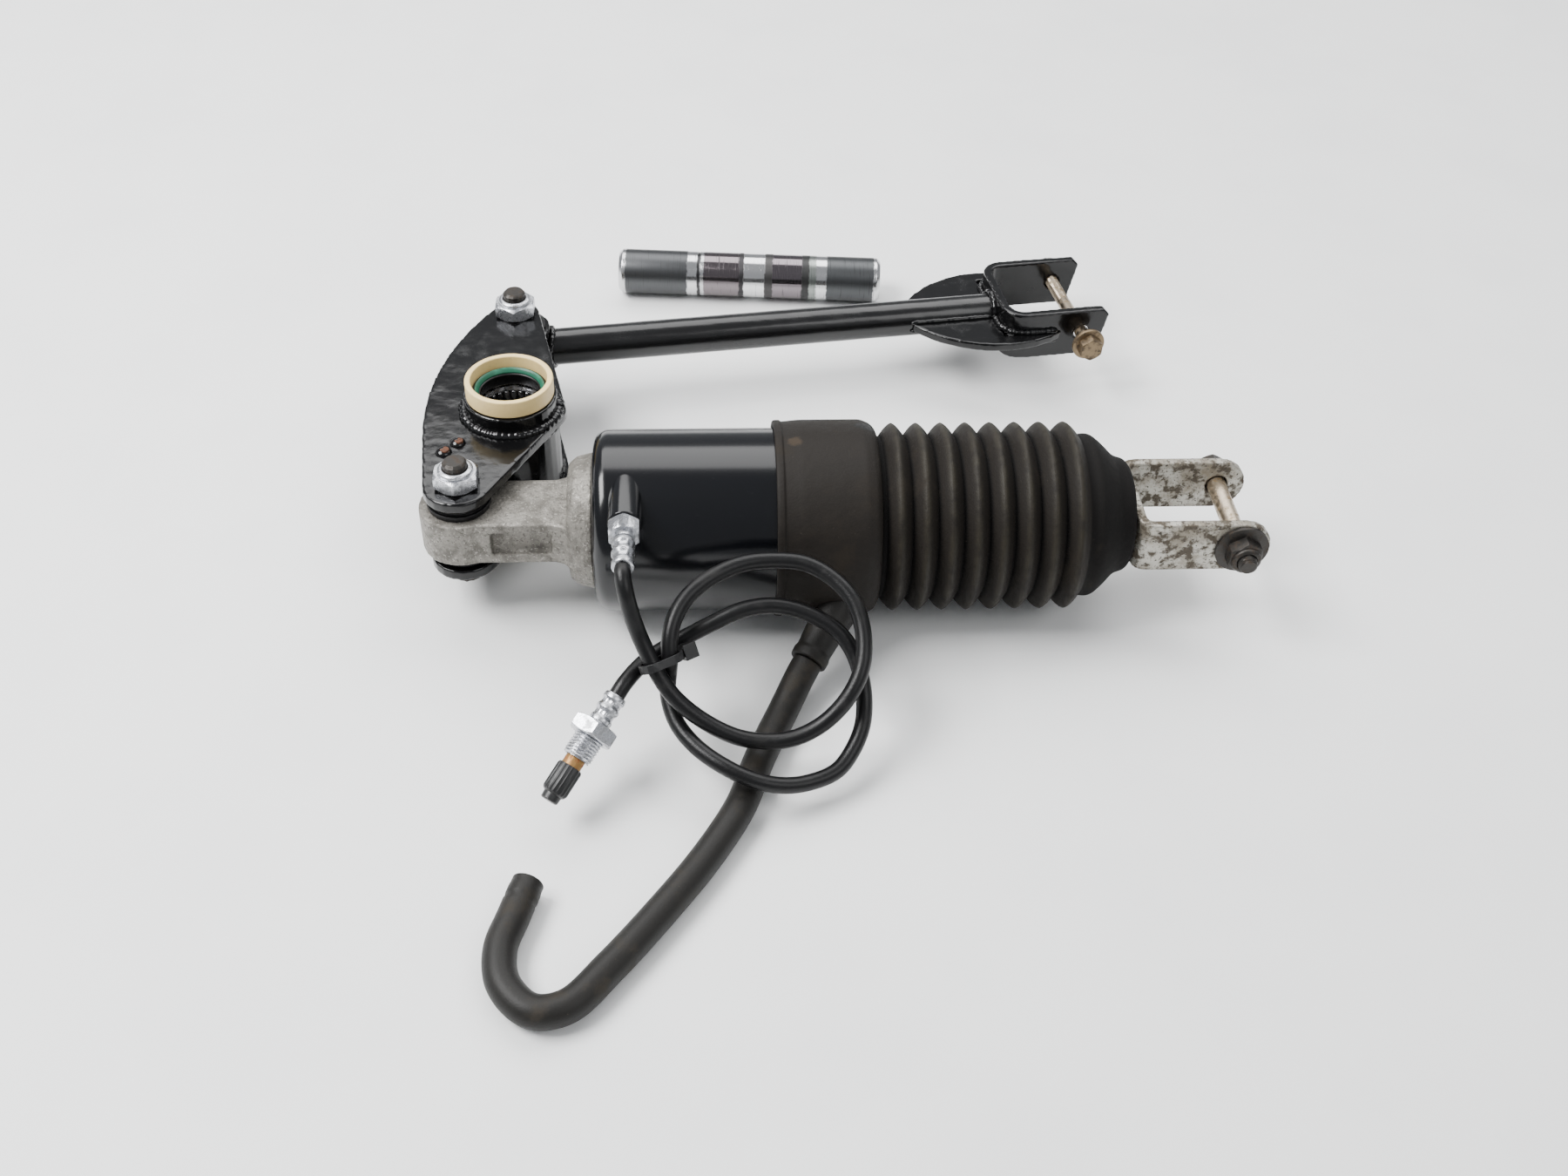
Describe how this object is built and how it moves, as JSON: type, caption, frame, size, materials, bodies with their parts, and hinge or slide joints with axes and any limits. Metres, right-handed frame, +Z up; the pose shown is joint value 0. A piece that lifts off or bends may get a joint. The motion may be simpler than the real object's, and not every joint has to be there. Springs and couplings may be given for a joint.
{
  "type": "motorcycle rear air shock absorber with relay linkage",
  "caption": "Air shock absorber with rubber bellows, bolted to a black relay arm and a long connecting arm, with a loose pivot pin, an air hose with valve and a hooked drain hose.",
  "frame": {"origin": "middle of the base of everything but the two free hoses and what hangs on the air hose, on the bench", "axes": "+X along the shock from its cast lug to its U-bracket, +Y from the shock towards the loose pivot pin, +Z up from the bench"},
  "size_m": [0.3484, 0.4384, 0.0808],
  "materials": {
    "canister_gloss": "smooth gloss black paint with light scuffs",
    "cast_aluminium": "grainy sand-cast aluminium, warm grey",
    "boot_rubber": "matt aged brownish-black rubber, dusty in the folds",
    "black_rubber": "semi-matt black rubber",
    "linkage_paint": "thick lumpy satin-gloss black paint over welds",
    "bright_zinc": "bright zinc plating, lightly weathered",
    "galvanised_steel": "dull zinc plating with dark mottled corrosion",
    "yellow_zinc": "yellow passivated zinc, dulled",
    "dark_steel": "dark oiled steel with light rust",
    "polished_steel": "ground and polished hardened steel with wear bands",
    "tan_plastic": "cream-tan moulded plastic, scuffed",
    "brass": "tarnished brass with orange corrosion",
    "black_plastic": "black moulded plastic"
  },
  "bodies": {
    "shock_body": {"canister": "canister_gloss", "end_casting": "cast_aluminium", "lug_bush": "polished_steel", "boot_sleeve": "boot_rubber", "boot_bellows": "boot_rubber", "damper_tube": "polished_steel", "rod_guide": "polished_steel", "fixed_spring_seat": "dark_steel", "air_seal_ring": "black_rubber", "coil_spring": "dark_steel", "air_inlet_socket": "canister_gloss", "inlet_fitting": "bright_zinc", "inlet_ferrule": "bright_zinc", "air_hose": "black_rubber", "cable_tie": "black_plastic", "valve_ferrule": "bright_zinc", "valve_adapter": "bright_zinc", "valve_stem": "brass", "valve_core": "brass", "drain_spigot": "boot_rubber", "drain_hose": "boot_rubber"},
    "rod_and_bracket": {"damper_piston": "polished_steel", "piston_rod": "polished_steel", "bump_stop": "black_rubber", "moving_spring_seat": "dark_steel", "u_bracket": "galvanised_steel", "clevis_bolt": "yellow_zinc", "clevis_nut": "dark_steel"},
    "relay_arm": {"relay_plate_upper": "linkage_paint", "relay_plate_lower": "linkage_paint", "relay_boss_tube": "linkage_paint", "needle_bearing_shell_upper": "polished_steel", "needle_bearing_shell_lower": "polished_steel", "needle_cage_upper": "polished_steel", "needle_cage_lower": "polished_steel", "boss_dust_seal_upper": "black_rubber", "boss_dust_seal_lower": "black_rubber", "thrust_ring_upper": "tan_plastic", "thrust_ring_lower": "tan_plastic", "shock_pivot_bolt": "dark_steel", "shock_pivot_nut": "bright_zinc", "shock_pivot_collar_upper": "black_rubber", "shock_pivot_collar_lower": "black_rubber", "arm_pivot_bolt": "dark_steel", "arm_pivot_nut": "bright_zinc", "arm_pivot_collar_upper": "black_rubber", "arm_pivot_collar_lower": "black_rubber"},
    "connecting_arm": {"arm_eye": "linkage_paint", "arm_bush": "polished_steel", "arm_rod": "linkage_paint", "arm_gusset_rear": "linkage_paint", "arm_gusset_front": "linkage_paint", "arm_yoke": "linkage_paint", "yoke_bolt": "yellow_zinc", "yoke_nut": "dark_steel"},
    "valve_cap": {"valve_cap": "black_plastic"},
    "pivot_pin": {"pivot_pin": "polished_steel"}
  },
  "joints": [
    {"name": "rod_stroke", "type": "slide", "parent": "shock_body", "child": "rod_and_bracket", "axis": [-1, 0, 0], "range_m": [0, 0.045], "stiffness_N_per_m": 12000, "deforming": ["boot_bellows", "coil_spring"]},
    {"name": "relay_swing", "type": "hinge", "parent": "shock_body", "child": "relay_arm", "pos_m": [-0.15557, -0.08361, 0.04052], "axis": [0, 0.0698, 0.9976], "range_deg": [-8, 6]},
    {"name": "link_swing", "type": "hinge", "parent": "relay_arm", "child": "connecting_arm", "pos_m": [-0.14117, 0.04148, 0.03177], "axis": [0, 0.0698, 0.9976], "range_deg": [-10, 5]},
    {"name": "valve_cap_off", "type": "slide", "parent": "shock_body", "child": "valve_cap", "axis": [-0.5402, -0.7403, -0.4002], "range_m": [0, 0.012]},
    {"name": "pivot_pin_lift", "type": "slide", "parent": "shock_body", "child": "pivot_pin", "axis": [0, 0, 1], "range_m": [0, 0.12]}
  ]
}
